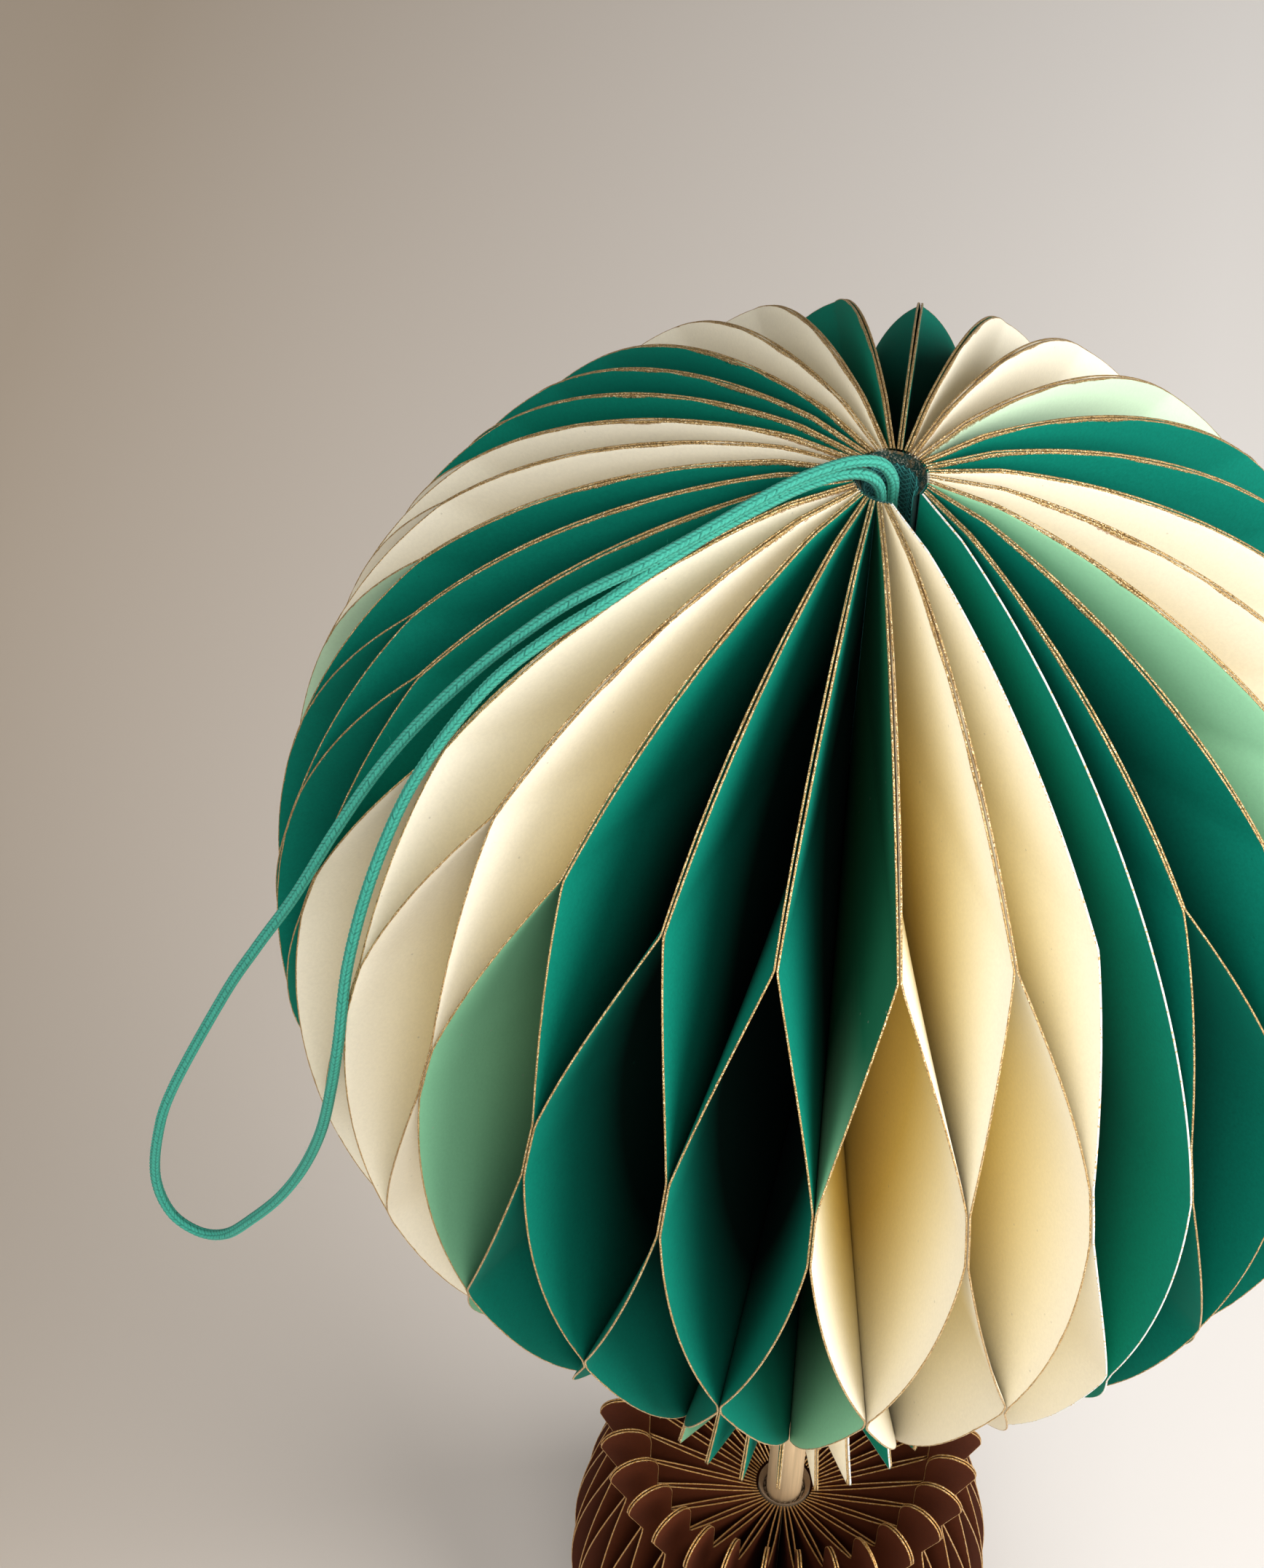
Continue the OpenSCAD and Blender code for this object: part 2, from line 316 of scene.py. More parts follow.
def paper_finish(name, colour, painted_root_shade, reach, gilt, cloud, roughness):
    """Card with fine fibres and faint clouds, painted darker towards its root as painted shade in the cells,
    with gilt along its rim.
    """
    finish = Finish(name)
    fibre = finish.noise(2600.0, 4.0, 0.7)
    clouds = finish.noise(70.0, 3.0)
    dark = scaled(colour, 1 - 2.2 * cloud)
    pale = scaled(colour, 1 + 1.6 * cloud, 0.02 * cloud)
    base = finish.blend((fibre * 1.6 - 0.3).clamped(), dark, pale)
    base = finish.blend((clouds * 1.4 - 0.35).clamped() * 0.4, base, colour)
    rim, spill, tint = finish.mark("rim"), finish.mark("spill"), finish.mark("tint")
    # Painted light: painted shade deeper towards the root, a painted green reflection, more painted shade, and
    # painted golden shade deep in the cream cells.
    inward = ((rim - 1.5) / reach).clamped() ** 1.4
    for share, tone in ((inward, painted_root_shade), (tint.clamped(), PAINTED_GREEN_REFLECTION), ((tint - 1.0).clamped(), SHADED),
                        ((tint * -1.0).clamped() * inward, PAINTED_GOLDEN_SHADE)):
        base = finish.blend(share, base, finish.blend(1.0, base, tone, "MULTIPLY"))
    specks = finish.grains(330.0, "Distance")
    base = finish.blend((specks < 0.045) * 0.35, base, scaled(colour, 0.45))
    ragged = finish.noise(5200.0, 3.0, 0.75)
    soaked = finish.noise(1900.0, 3.0, 0.7)
    mask = rim < spill * (ragged * 2.4 - 0.2)
    stain = (rim < (spill - 0.08) * (soaked * 4.6 - 0.6)) * 0.7
    base = finish.blend(stain, base, finish.blend(1.0, base, STAINED, "MULTIPLY"))
    card = finish.surface(
        Base_Color=base, Roughness=(fibre * 0.16 + roughness - 0.08).clamped(), Specular_IOR_Level=0.12,
        Normal=finish.bump(fibre, 0.00003, 0.6))
    mixed = finish.node("ShaderNodeMixShader", None, {0: mask, 1: card, 2: gilt_shader(finish, gilt)})
    return finish.node_output(mixed)


def raw_finish(name, colour):
    """Torn white core of the card along a cut edge, with a few stray grains of gilt."""
    finish = Finish(name)
    fibre = finish.noise(3800.0, 4.0, 0.7)
    base = finish.blend((fibre * 1.5 - 0.25).clamped(), scaled(colour, 0.82), colour)
    grains = finish.node("ShaderNodeSeparateColor", None, {0: finish.grains(5200.0)}, "Red")
    base = finish.blend(grains > 0.86, base, (0.62, 0.42, 0.18))
    return finish.node_output(finish.surface(
        Base_Color=base, Roughness=0.85, Specular_IOR_Level=0.2, Normal=finish.bump(fibre, 0.00004, 0.7)))


def wood_finish(name, colour):
    """Straight grain along the stick with darker pores."""
    finish = Finish(name)
    at = finish.stretched((1.0, 1.0, 0.035))
    grain = finish.noise(1500.0, 4.0, 0.65, at)
    rings = finish.noise(420.0, 2.0, 0.5, at)
    base = finish.blend((grain * 1.7 - 0.35).clamped(), scaled(colour, 0.66), scaled(colour, 1.2))
    base = finish.blend((rings * 1.5 - 0.4).clamped() * 0.4, base, scaled(colour, 0.8))
    return finish.node_output(finish.surface(
        Base_Color=base, Roughness=(grain * 0.2 + 0.5).clamped(), Specular_IOR_Level=0.35,
        Normal=finish.bump(grain, 0.00008, 0.7)))


def thread_finish(name, colour, spread):
    """Spun cotton: fine fibres, tone that changes from yarn to yarn, and painted shade in the pits between the
    yarns.
    """
    finish = Finish(name)
    fibre = finish.noise(5200.0, 4.0, 0.7)
    tone = finish.noise(260.0, 2.0)
    pit = finish.mark("pit")
    base = finish.blend((fibre * 1.6 - 0.3).clamped(), scaled(colour, 1 - spread),
                        scaled(colour, 1 + spread, 0.05 * spread))
    base = finish.blend((tone * 1.5 - 0.4).clamped() * 0.35, base, scaled(colour, 1.25, 0.01))
    # Painted shade where the mesh marks pits between the yarns.
    base = finish.blend(pit.clamped() * 0.85, base, scaled(colour, 0.2))
    return finish.node_output(finish.surface(
        Base_Color=base, Roughness=0.9, Specular_IOR_Level=0.15, Sheen_Weight=0.08, Sheen_Roughness=0.5,
        Normal=finish.bump(fibre, 0.00005, 0.7)))


def frayed_finish(name):
    """Torn roots of the leaves in dried glue: pale fibres and gilt dust on near-black green, which is painted
    shade that makes the lip read as the dark hole at the pole.
    """
    finish = Finish(name)
    fibre = finish.noise(4200.0, 4.0, 0.75)
    patch = finish.noise(1300.0, 3.0, 0.7)
    # The near-black green is painted shade of the hole at the pole; the pale fibres and gilt dust are the
    # roots' own.
    base = finish.blend((fibre * 5.0 - 2.6).clamped(), (0.004, 0.03, 0.024), (0.4, 0.38, 0.3))
    base = finish.blend((patch * 5.0 - 2.6).clamped(), base, (0.2, 0.12, 0.05))
    return finish.node_output(finish.surface(
        Base_Color=base, Roughness=0.85, Specular_IOR_Level=0.2, Normal=finish.bump(fibre, 0.0002, 0.9)))


def floor_finish(name, shade, light):
    """Floor with painted light: taupe on the left to near white on the right as a painted falloff of the lamps'
    light, and painted duller where the key lamp is close.
    """
    finish = Finish(name)
    at = finish.place()
    x = finish.node("ShaderNodeSeparateXYZ", None, {0: at}, "X")
    y = finish.node("ShaderNodeSeparateXYZ", None, {0: at}, "Y")
    # Painted falloff of light from left to right.
    slope = (x * 4.2 - y * 0.15 + 0.78).clamped()
    base = finish.blend(slope, shade, light)
    # Painted shade that offsets the key lamp where it is close.
    base = finish.blend((x * 3.0 - 0.42).clamped(), base, (0.4, 0.38, 0.355))
    return finish.node_output(finish.surface(Base_Color=base, Roughness=0.9, Specular_IOR_Level=0.1))


class Sheets:
    """Gathers the vertices, faces, finishes and marks of a piece, in millimetres."""

    def __init__(self):
        self.points, self.quads, self.slots, self.smooth, self.marks = [], [], [], [], {}
        self.count = 0

    def add(self, points, quads, slot, smooth, **marks):
        points = np.asarray(points, float).reshape(-1, 3)
        quads = np.asarray(quads, int).reshape(-1, 4) + self.count
        self.points.append(points)
        self.quads.append(quads)
        self.slots.append(np.full(len(quads), slot))
        self.smooth.append(np.full(len(quads), smooth))
        for key in self.marks.keys() | marks.keys():
            have = self.marks.setdefault(key, [np.zeros(self.count)])
            have.append(np.asarray(marks.get(key, np.zeros(len(points))), float).ravel())
        self.count += len(points)

    def grid(self, points, slot, smooth=True, flip=False, **marks):
        """Adds a grid of points, rows by columns."""
        rows, columns = points.shape[:2]
        k = np.arange(rows * columns).reshape(rows, columns)
        quads = np.stack([k[:-1, :-1], k[:-1, 1:], k[1:, 1:], k[1:, :-1]], -1).reshape(-1, 4)
        self.add(points, quads[:, ::-1] if flip else quads, slot, smooth, **marks)

    def make(self, name, materials):
        points = np.concatenate(self.points) * MM
        quads = np.concatenate(self.quads)
        mesh = bpy.data.meshes.new(name)
        mesh.vertices.add(len(points))
        mesh.vertices.foreach_set("co", points.ravel())
        mesh.loops.add(quads.size)
        mesh.loops.foreach_set("vertex_index", quads.ravel())
        mesh.polygons.add(len(quads))
        mesh.polygons.foreach_set("loop_start", np.arange(len(quads)) * 4)
        mesh.polygons.foreach_set("material_index", np.concatenate(self.slots))
        mesh.polygons.foreach_set("use_smooth", np.concatenate(self.smooth))
        for key, parts in self.marks.items():
            mesh.attributes.new(key, "FLOAT", "POINT").data.foreach_set("value", np.concatenate(parts))
        mesh.update(calc_edges=True)
        if mesh.validate():
            raise RuntimeError(f"{name}: the mesh had faults")
        for material in materials:
            mesh.materials.append(material)
        piece = bpy.data.objects.new(name, mesh)
        bpy.context.scene.collection.objects.link(piece)
        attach(piece, "root")
        return piece


def unit(v):
    return v / np.maximum(np.linalg.norm(v, axis=-1, keepdims=True), 1e-12)


def resample(line, step):
    """Points along a line at even steps, and the same along its other columns."""
    reach = np.concatenate([[0], np.cumsum(np.linalg.norm(np.diff(line[:, :3], axis=0), axis=1))])
    at = np.linspace(0, reach[-1], max(2, int(round(reach[-1] / step)) + 1))
    return np.stack([np.interp(at, reach, line[:, k]) for k in range(line.shape[1])], 1)


def away_from(points, line):
    """Distance of points from an open line, both in the plane of a flat leaf."""
    a, b = line[:-1], line[1:]
    along = b - a
    p = points.reshape(-1, 1, 2) - a
    t = np.clip((p * along).sum(-1) / np.maximum((along ** 2).sum(-1), 1e-9), 0, 1)
    return np.linalg.norm(p - t[..., None] * along, axis=-1).min(1).reshape(points.shape[:-1])


def soft_step(x, low, high):
    t = np.clip((x - low) / (high - low), 0, 1)
    return t * t * (3 - 2 * t)


class Book:
    """A book of leaves that is opened all the way round: where each leaf runs."""

    def __init__(self, seed, paper_t, root_r, wobble, spine_arc):
        self.rng = np.random.default_rng(seed)
        self.half = paper_t / 2
        self.root_r = root_r
        self.spine_arc = spine_arc
        self.wobble = self.rng.normal(0, wobble, (LEAVES + 1, 2))
        self.phase = self.rng.uniform(0, 2 * math.pi, (LEAVES + 1, 2))
        self.made_outline = None
        self.made_rows = None

    def root(self, i):
        at = math.radians(SEAM_AT + (360 - self.spine_arc) / 2 + self.spine_arc * (i + 0.5) / LEAVES)
        return self.root_r * np.array([math.cos(at), math.sin(at)])

    def boundary(self, j, z):
        """Angle of boundary j, with the small waves of bent paper."""
        waves = self.wobble[j] * np.sin(np.outer(z, [0.042, 0.09]) + self.phase[j])
        return self.opened(j) + waves.sum(1)

    def heading(self, i, z, swing):
        even, odd = (i, i + 1) if i % 2 == 0 else (i + 1, i)
        return np.radians(self.boundary(even, z) * (1 - swing) + self.boundary(odd, z) * swing)

    def place(self, i, flat, side):
        """Puts flat points of leaf i in space: columns are radius, height and swing."""
        shape = flat.shape[:-1]
        r, z, swing = flat.reshape(-1, 3).T
        heading = self.heading(i, z, self.leaf_swing(i, z, swing))
        out = np.stack([np.cos(heading), np.sin(heading)], 1)
        across = np.stack([-out[:, 1], out[:, 0]], 1)
        off = np.broadcast_to(side * self.half, shape).reshape(-1, 1)
        xy = self.root(i) + (r - self.root_r)[:, None] * out + off * across
        return np.column_stack([xy, z + self.lift]).reshape(*shape, 3)

    def leaf_swing(self, i, z, swing):
        return swing

    def tint(self, i, side, z, depth):
        """Mark for the card's finish: above 0 green light, above 1 shade too, below 0 golden light."""
        return np.zeros(depth.shape)

    def add_leaf(self, sheets, i, rim_slot, spill):
        """Adds both faces of leaf i, its rim with gilt, and loose grains beside it."""
        rows = self.rows()
        distance = away_from(rows[..., :2], self.outline()[:, :2])
        thin = np.where(distance < 0.02, RIM_SHARE, 1.0)
        for side in (1, -1):
            sheets.grid(self.place(i, rows, side * thin), 0, flip=side < 0, rim=distance,
                        spill=np.broadcast_to(spill(rows[..., 1]), distance.shape),
                        tint=self.tint(i, side, rows[..., 1], distance))
        line = resample(self.outline(), self.rim_step)
        middle = self.place(i, line, 0)
        run = unit(np.gradient(middle, axis=0))
        heading = self.heading(i, line[:, 1], self.leaf_swing(i, line[:, 1], line[:, 2]))
        across = np.stack([-np.sin(heading), np.cos(heading), np.zeros(len(line))], 1)
        out = unit(np.cross(run, across))
        n = len(line)
        bare = rim_slot == 2
        grit = 0.006 if bare else 0.01
        skirt = spill(line[:, 1])
        section = [(-1.0, -0.05), (-1.0, 0.0), (-0.55, 0.035), (0.55, 0.035), (1.0, 0.0), (1.0, -0.05)]
        ring = []
        for a, o in section:
            inward = skirt * self.rng.gamma(1.6, 0.3, n) if o < -0.01 else np.zeros(n)
            wide = a * (self.half * RIM_SHARE + 0.004 + self.rng.uniform(0, grit, n))
            rise = o + self.rng.normal(0, grit * 0.6, n) - inward
            ring.append(middle + across * wide[:, None] + out * rise[:, None])
        sheets.grid(np.stack(ring, 1), rim_slot, flip=True)
        if not bare:
            self.add_grains(sheets, line, out, across, middle, spill)

    def add_grains(self, sheets, line, out, across, middle, spill):
        """Adds loose grains of glitter on both faces, close to the rim."""
        count = int(len(line) * self.rim_step * self.grains_per_mm)
        dense = spill(line[:, 1]) + 0.02
        k = self.rng.choice(len(line), count, p=dense / dense.sum())
        side = self.rng.choice([-1.0, 1.0], count)[:, None]
        depth = self.rng.exponential(0.04 + spill(line[k, 1]) * 0.7)[:, None]
        centre = middle[k] - out[k] * depth + across[k] * side * (self.half * RIM_SHARE + 0.03)
        lean = self.rng.normal(0, 0.35, (count, 3))
        up = unit(across[k] * side + lean)
        one = unit(np.cross(up, self.rng.normal(0, 1, (count, 3))))
        two = np.cross(up, one)
        size = self.rng.uniform(0.025, 0.055, count)[:, None]
        diamond = ((1, 0), (0, 1), (-1, 0), (0, -1))
        corners = np.stack([centre + size * (a * one + b * two) for a, b in diamond], 1)
        sheets.add(corners, np.arange(count * 4).reshape(-1, 4), 1, False)


class Ball(Book):
    """The ball's leaves, in millimetres from its middle."""

    rim_step = 0.6
    grains_per_mm = 0.5

    def __init__(self, sizes):
        super().__init__(11, sizes.paper_t / MM, sizes.root_r / MM, 0.16, SPINE_ARC)
        self.r = sizes.ball_d / MM / 2
        self.lift = sizes.ball_z / MM
        self.glue_second = sizes.glue_second / MM
        self.mouth = (sizes.mouth_d / MM / 2, -sizes.mouth_drop / MM)
        self.throat = (sizes.throat_d / MM / 2, (sizes.flare_h - sizes.mouth_drop) / MM)
        glue = [sizes.glue_top, sizes.glue_second, -sizes.glue_third, -sizes.glue_bottom]
        self.lats = [math.degrees(math.asin(g / MM / self.r)) for g in glue]

    def opened(self, j):
        return float(np.interp(j, *zip(*FAN)))

    def swing(self, z):
        """Share of the swing from the even neighbour to the odd one, by height."""
        lat = np.degrees(np.arcsin(np.clip(z / self.r, -1, 1)))
        top, second, third, bottom = self.lats
        upper = np.clip((top - lat) / (top - second - 3), 0, 1)
        middle = np.clip((second - 3 - lat) / (second - 3 - third - 1), 0, 1)
        lower = np.clip((third - 1 - lat) / (third - 1 - bottom), 0, 1)
        gape = GAPE * np.sin(math.pi * np.clip((lat - top) / (86 - top), 0, 1))
        swing = np.where(lat > second, upper + BOW * upper * (1 - upper),
                         1 - middle + BOW * middle * (1 - middle))
        return np.where(lat < third, lower + BOW * lower * (1 - lower), swing) + gape

    def leaf_swing(self, i, z, swing):
        return np.where(z > self.glue_second, 1.0, swing) if i == 0 else swing

    def tint(self, i, side, z, depth):
        """Painted light on cream faces: a painted reflection of green on faces that look at a green one,
        painted shade on some of them, and painted golden shade deep in the closed cells.
        """
        beside_green = (i % (2 * GATHERING), side) in ((GATHERING, -1), (2 * GATHERING - 1, 1))
        # This face gets painted shade above the second glue line and deep in its cells, on top of the painted
        # green reflection.
        if beside_green and i == SHADED_LEAF:
            above = soft_step(z, self.glue_second + 1, self.glue_second + 20)
            return 1 + np.clip(above + soft_step(depth, 1.5, 15), 0, 1)
        if beside_green:
            return np.full(depth.shape, PAINTED_REFLECTION_SHARES.get(i, PAINTED_REFLECTION_SHARE))
        # Later cream leaves get painted golden shade deep in their cells.
        cream = i // GATHERING % 2 == 1
        return np.full(depth.shape, -1.0 if cream and i >= PAINTED_GOLDEN_SHADE_FROM else 0.0)

    def rim(self):
        """Rim from the top of a leaf down to the mouth: radius, height and swing."""
        lat = np.radians(np.arange(POLE_LAT, -45.5, -0.5))
        arc = self.r * np.stack([np.cos(lat), np.sin(lat)], 1)
        t = np.linspace(0, 1, 60)[1:, None]
        start, end = arc[-1], np.array(self.throat)
        bend = np.array([end[0], start[1] - start[0] + end[0]])
        neck = (1 - t) ** 2 * start + 2 * t * (1 - t) * bend + t * t * end
        flare = end + (np.array(self.mouth) - end) * np.linspace(0, 1, 14)[1:, None] ** np.array([1.25, 1.0])
        line = np.concatenate([arc, neck, flare])
        return np.column_stack([line, self.swing(line[:, 1])])

    def outline(self):
        """Cut edge of a leaf from the spine's top over the rim to the spine's mouth."""
        if self.made_outline is None:
            rim = self.rim()
            top = np.linspace(self.root_r + 0.2, rim[0, 0], 14)[:-1]
            low = np.linspace(rim[-1, 0], self.root_r + 0.2, 30)[1:]
            upper = np.column_stack([top, np.full((13, 2), rim[0, 1:])])
            lower = np.column_stack([low, np.full((29, 2), rim[-1, 1:])])
            self.made_outline = np.concatenate([upper, rim, lower])
        return self.made_outline

    def rows(self):
        """Flat grid of a leaf: straight rulings from the spine to the rim."""
        if self.made_rows is None:
            rim = resample(self.rim(), 1.4)
            reach = (rim[:, 0] - self.root_r)[:, None]
            near = np.minimum(np.array([0, 0.6, 1.5, 4.0]), reach * 0.5 * np.array([0, 0.3, 0.6, 1.0]))
            far = near[:, 3:] + (reach - near[:, 3:]) * np.array([0.3, 0.65, 1.0])
            r = rim[:, :1] - np.concatenate([near, far], 1)[:, ::-1]
            self.made_rows = np.stack([r, np.broadcast_to(rim[:, 1:2], r.shape),
                                       np.broadcast_to(rim[:, 2:], r.shape)], -1)
        return self.made_rows


class Basket(Book):
    """The basket's leaves, in millimetres from its underside."""

    rim_step = 0.8
    grains_per_mm = 0.25
    lift = 0.0

    def __init__(self, sizes):
        super().__init__(23, sizes.paper_t / MM, sizes.root_r / MM, 0.35, 360.0)
        self.h = sizes.basket_h / MM
        self.rim_r = sizes.rim_d / MM / 2
        self.bead_r = sizes.rim_w / MM / 2
        self.waist_r, self.base_r = sizes.waist_d / MM / 2, sizes.base_d / MM / 2
        self.waist_z = self.h - sizes.rim_h / MM
        self.bulge = sizes.belly_d / MM / 2 - (self.waist_r + self.base_r) / 2
        self.floor_z = self.h - sizes.hollow / MM

    def opened(self, j):
        return SEAM_AT + 360 * j / LEAVES

    def swing(self, z):
        t = np.clip(1 - z / self.waist_z, 0, 1)
        return np.sin(math.pi * t) * 0.98 + 0.02 * (z < self.waist_z)

    def outline(self):
        """Cut edge from the spine up the hollow, over the rolled rim and down the belly."""
        if self.made_outline is None:
            foot = (self.rim_r - 2 * self.bead_r, self.waist_z + 1)
            hollow = np.array([(self.root_r + 0.3, self.floor_z), foot])
            a = np.radians(np.linspace(180, 0, 17))
            bead = np.stack([self.rim_r - self.bead_r + self.bead_r * np.cos(a),
                             self.h - self.bead_r + self.bead_r * np.sin(a)], 1)
            t = np.linspace(0, 1, 40)
            side = self.waist_r + (self.base_r - self.waist_r) * t + self.bulge * np.sin(math.pi * t)
            belly = np.stack([side, self.waist_z * (1 - t)], 1)
            base = np.array([(self.root_r + 0.3, 0.0)])
            line = np.concatenate([hollow, bead, belly, base])
            self.made_outline = np.column_stack([line, self.swing(line[:, 1])])
        return self.made_outline

    def rows(self):
        """Flat grid of a leaf from its inner edge to its outer edge, level by level."""
        if self.made_rows is None:
            z = np.concatenate([np.linspace(0, self.waist_z, 30), np.linspace(self.waist_z, self.h, 16)[1:]])
            line = self.outline()
            top = int(np.argmax(line[:, 1]))
            inner = np.interp(z, line[:top + 1, 1], line[:top + 1, 0], left=self.root_r)
            outer = np.interp(z, line[top:-1, 1][::-1], line[top:-1, 0][::-1])
            share = np.array([0, 0.06, 0.18, 0.4, 0.65, 0.86, 0.95, 1.0])
            r = inner[:, None] + (outer - inner)[:, None] * share
            swing = np.broadcast_to(self.swing(z)[:, None], r.shape)
            self.made_rows = np.stack([r, np.broadcast_to(z[:, None], r.shape), swing], -1)[::-1]
        return self.made_rows


def smooth_line(stops, per_stop):
    """Smooth curve through the stops."""
    p = np.asarray(stops, float)
    p = np.concatenate([p[:1], p, p[-1:]])
    t = np.linspace(0, 1, per_stop, endpoint=False)[:, None]
    parts = []
    for a, b, c, d in zip(p[:-3], p[1:-2], p[2:-1], p[3:]):
        parts.append(b + t / 2 * (c - a + t * (2 * a - 5 * b + 4 * c - d + t * (3 * (b - c) + d - a))))
    return np.concatenate([*parts, p[-1:]])


def carried_frame(line):
    """Two sides square to a line, carried along it without twist."""
    run = unit(np.gradient(line, axis=0))
    side = np.empty_like(line)
    side[0] = unit(np.cross(run[0], [0.0, 1.0, 0.0]))
    for k in range(1, len(line)):
        side[k] = unit(side[k - 1] - run[k] * (side[k - 1] @ run[k]))
    return run, side, np.cross(run, side)


def sizes():
    return bpy.context.scene.ornament_sizes


def colours():
    return bpy.context.scene.ornament_colours


class MakeCord(bpy.types.Operator):
    """Braids the hanging cord along its route, with stray fibres"""

    bl_idname = "ornament.hanging_cord"
    bl_label = "Hanging cord"

    columns, stitch, around = 6, 0.58, 30

    def execute(self, context):
        d = sizes().cord_d / MM
        lift = np.array([0, 0, sizes().ball_z / MM])
        line = resample(smooth_line(CORD_ROUTE, 24), 0.13) + lift
        run, side, other = carried_frame(line)
        along = np.concatenate([[0], np.cumsum(np.linalg.norm(np.diff(line, axis=0), axis=1))])
        turn = np.linspace(0, 1, self.around, endpoint=False)
        u = turn * self.columns
        column = np.floor(u)
        part = u - column
        slant = np.where(column % 2 == 0, 1.0, -1.0) * (part - 0.5)
        w = along[:, None] / self.stitch + slant * 1.15 + (column % 2) * 0.5
        yarn = np.sqrt(np.clip(1 - (2 * (w - np.floor(w)) - 1) ** 2, 0, 1))
        bulge = np.sqrt(np.clip(1 - 0.85 * (2 * part - 1) ** 2, 0, 1))
        height = yarn * bulge
        r = d / 2 * (0.8 + 0.24 * height)
        a = 2 * math.pi * turn
        rings = (line[:, None] + (np.cos(a) * r)[..., None] * side[:, None]
                 + (np.sin(a) * r)[..., None] * other[:, None])
        sheets = Sheets()
        rings = np.concatenate([rings, rings[:, :1]], 1)
        height = np.concatenate([height, height[:, :1]], 1)
        # Painted shade marked where the braid's surface sinks between the yarns.
        sheets.grid(rings, 0, pit=np.clip(0.75 - height, 0, 1) * 1.6)
        for end in (0, -1):
            cap = np.stack([rings[end], np.broadcast_to(line[end], rings[end].shape)])
            sheets.grid(cap, 0, flip=end == 0, pit=np.zeros(cap.shape[:2]))
        self.add_fuzz(sheets, line, run, side, other, d)
        piece = sheets.make("braided_cord", [thread_finish("cord_cotton", colours().cord, 0.34)])
        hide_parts("hanging_cord")
        return {"FINISHED"}

    def add_fuzz(self, sheets, line, run, side, other, d):
        """Adds short stray fibres that curl away from the cord."""
        rng = np.random.default_rng(5)
        count, steps = 1500, 5
        k = rng.integers(90, len(line) - 90, count)
        a = rng.uniform(0, 2 * math.pi, count)[:, None]
        out = np.cos(a) * side[k] + np.sin(a) * other[k]
        lean = run[k] * rng.normal(0, 0.9, count)[:, None]
        lean = lean + np.cross(out, run[k]) * rng.normal(0, 0.6, count)[:, None]
        reach = np.minimum(rng.gamma(2.0, 0.11, count), 0.55)[:, None]
        curl = rng.normal(0, 0.4, (count, 3))
        width = rng.uniform(0.005, 0.009, count)[:, None]
        spine = []
        for t in np.linspace(0, 1, steps):
            spine.append(line[k] + out * (d * 0.46 + reach * t * 0.8) + (lean * t + curl * t * t) * reach)
        spine = np.stack(spine, 1)
        flat = unit(np.cross(spine[:, -1] - spine[:, 0], out + 0.3))
        taper = np.linspace(1, 0.3, steps)[None, :, None]
        half = flat[:, None] * width[:, None] * taper
        strip = np.stack([spine + half, spine - half], 2).reshape(-1, 3)
        base = (np.arange(count) * steps * 2)[:, None] + np.arange(steps - 1)[None] * 2
        quads = np.stack([base, base + 1, base + 3, base + 2], -1).reshape(-1, 4)
        sheets.add(strip, quads, 0, True)


class MakeBall(bpy.types.Operator):
    """Bends the ball's leaves, gathering by gathering, and gilds their rims"""

    bl_idname = "ornament.ball_leaves"
    bl_label = "Ball leaves"

    def execute(self, context):
        ball = Ball(sizes())
        tones = colours()
        gilt = gilt_finish("rim_gilt", tones.gilt)
        raw = raw_finish("raw_edge", tones.raw)
        # The third and fourth arguments are the painted shade at the leaves' roots and its reach in
        # millimetres.
        papers = [paper_finish("green_card", tones.green, (0.06, 0.07, 0.07), 16.0, tones.gilt, 0.1, 0.8),
                  paper_finish("cream_card", tones.cream, (0.97, 0.86, 0.6), 22.0, tones.gilt, 0.035, 0.82)]
        for g in range(LEAVES // GATHERING):
            sheets = Sheets()
            for i in range(g * GATHERING, (g + 1) * GATHERING):
                ends = i in (0, LEAVES - 1)
                ball.add_leaf(sheets, i, 2 if ends else 1, self.spill(ball, 0.0 if ends else 1.0))
            tone = ("green", "cream")[g % 2]
            piece = sheets.make(f"{tone}_gathering_{g // 2 + 1}", [papers[g % 2], gilt, raw])
            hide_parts(f"{tone}_leaves_{g // 2 + 1}")
        return {"FINISHED"}

    def spill(self, ball, share):
        """Width of gilt on the faces by height: more of it near the top."""
        lavish = ball.rng.uniform(0.4, 1.3)
        first, second = ball.rng.uniform(0, 6.28, 2)

        def width(z):
            waves = 0.5 + 0.3 * np.sin(z * 0.9 + first) + 0.2 * np.sin(z * 2.3 + second)
            return share * (0.01 + 0.05 * waves + 0.3 * lavish * waves * soft_step(z, 46, 62))
        return width


class MakeBasket(bpy.types.Operator):
    """Bends the basket's leaves and gilds their edges"""

    bl_idname = "ornament.basket_leaves"
    bl_label = "Basket leaves"

    def execute(self, context):
        basket = Basket(sizes())
        tones = colours()
        gilt = gilt_finish("basket_gilt", [c * f for c, f in zip(tones.gilt, (1.0, 0.75, 0.4))], 0.7)
        # The third and fourth arguments are the painted shade in the basket's cells and its reach in
        # millimetres.
        card = paper_finish("brown_card", tones.brown, (0.3, 0.3, 0.3), 12.0, tones.gilt, 0.12, 0.7)
        for k in range(LEAVES // BASKET_SHARE):
            sheets = Sheets()
            for i in range(k * BASKET_SHARE, (k + 1) * BASKET_SHARE):
                basket.add_leaf(sheets, i, 1, lambda z: np.full(np.shape(z), 0.03))
            piece = sheets.make(f"basket_gathering_{k + 1}", [card, gilt])
            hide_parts(f"basket_leaves_{k + 1}")
        return {"FINISHED"}


